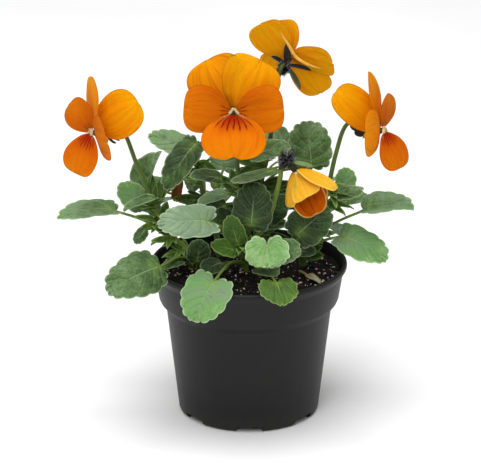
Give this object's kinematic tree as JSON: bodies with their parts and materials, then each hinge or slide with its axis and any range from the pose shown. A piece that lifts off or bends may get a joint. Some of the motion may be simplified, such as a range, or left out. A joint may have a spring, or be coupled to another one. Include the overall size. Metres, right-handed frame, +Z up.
{
  "type": "potted pansy",
  "caption": "Small-flowered orange pansy with scalloped green leaves, growing in potting soil in a round plastic nursery pot.",
  "frame": {"origin": "centre of the round pot's underside, on the plane it stands on", "axes": "+Z up through the pot's axis, -Y towards the side the open front bloom faces, +X to that side's right"},
  "size_m": [0.19, 0.1329, 0.2107],
  "materials": {
    "pot": "matte charcoal polypropylene",
    "soil": "moist potting soil with light grains",
    "green": "matte leaf green",
    "petal": "soft orange petal",
    "dry": "dry brown leaf"
  },
  "bodies": {
    "root": {"pot": "pot", "soil": "soil", "shoot_left": "green", "shoot_front": "green", "shoot_right": "green", "shoot_centre": "green", "shoot_centre_back": "green", "shoot_left_back": "green", "shoot_back_left": "green", "shoot_back_right": "green", "petals_front": "petal", "petals_left": "petal", "petals_right": "petal", "petals_back": "petal", "petals_nodding": "petal", "leaf_withered": "dry", "leaf_fallen": "dry"}
  },
  "joints": []
}
